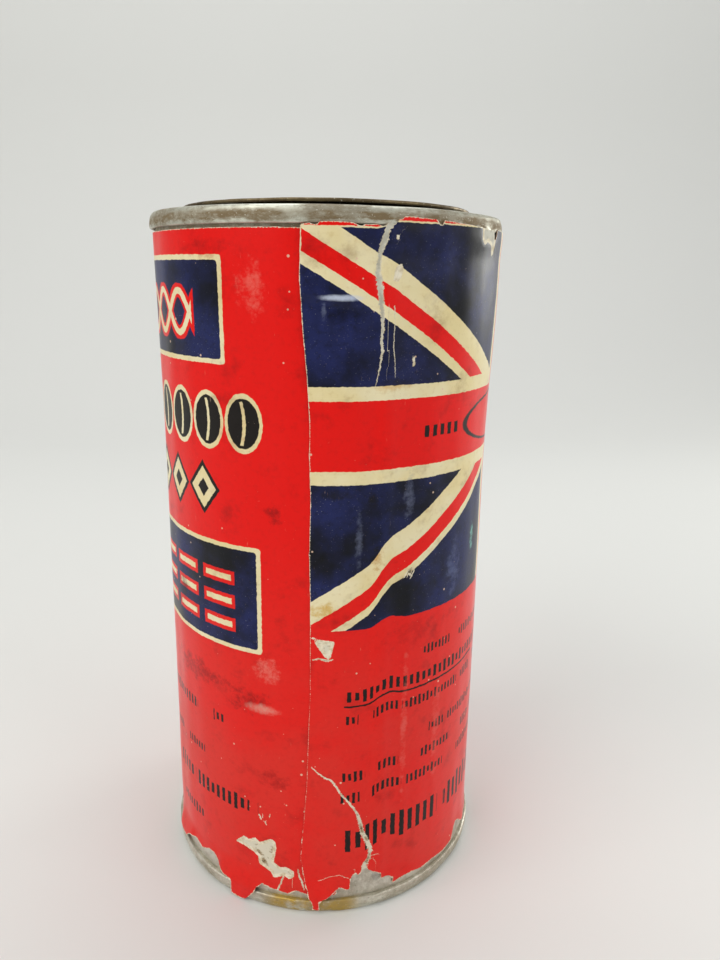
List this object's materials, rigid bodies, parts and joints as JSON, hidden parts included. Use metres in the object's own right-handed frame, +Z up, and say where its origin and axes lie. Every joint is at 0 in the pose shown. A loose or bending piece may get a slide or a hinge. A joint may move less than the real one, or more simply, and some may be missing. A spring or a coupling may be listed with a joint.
{
  "type": "coffee tin",
  "caption": "Tall round press-lid tin with double-seamed ends, a soldered side seam, a recessed lift-off lid and a wrapped paper label.",
  "frame": {"origin": "middle of the base, on the plane that the lower seam stands on", "axes": "+Z up along the can's axis; -Y towards the label's lap; +X to the right of it"},
  "size_m": [0.0762, 0.0762, 0.1516],
  "materials": {
    "tinplate_body": "dull tinplate, grey, stained brown where the paper has gone",
    "tinplate_ring": "dull tinplate with brown grime in the seam",
    "tinplate_base": "dull tinplate with a yellowed, worn lower seam",
    "tinplate_lid": "dull tinplate, yellowed and speckled",
    "solder": "dull grey soft solder",
    "lining_compound": "matte grey-green rubber lining compound",
    "printed_paper": "calendered paper printed red, navy, cream and black, creased and torn at its lower edge"
  },
  "bodies": {
    "can": {"body_shell": "tinplate_body", "side_seam_solder": "solder", "top_ring": "tinplate_ring", "top_seam_compound": "lining_compound", "bottom_end": "tinplate_base", "bottom_seam_compound": "lining_compound", "paper_label": "printed_paper"},
    "lid": {"lever_lid": "tinplate_lid"}
  },
  "joints": [
    {"name": "lid_lift", "type": "slide", "parent": "can", "child": "lid", "axis": [0, 0, 1], "range_m": [0, 0.03]}
  ]
}
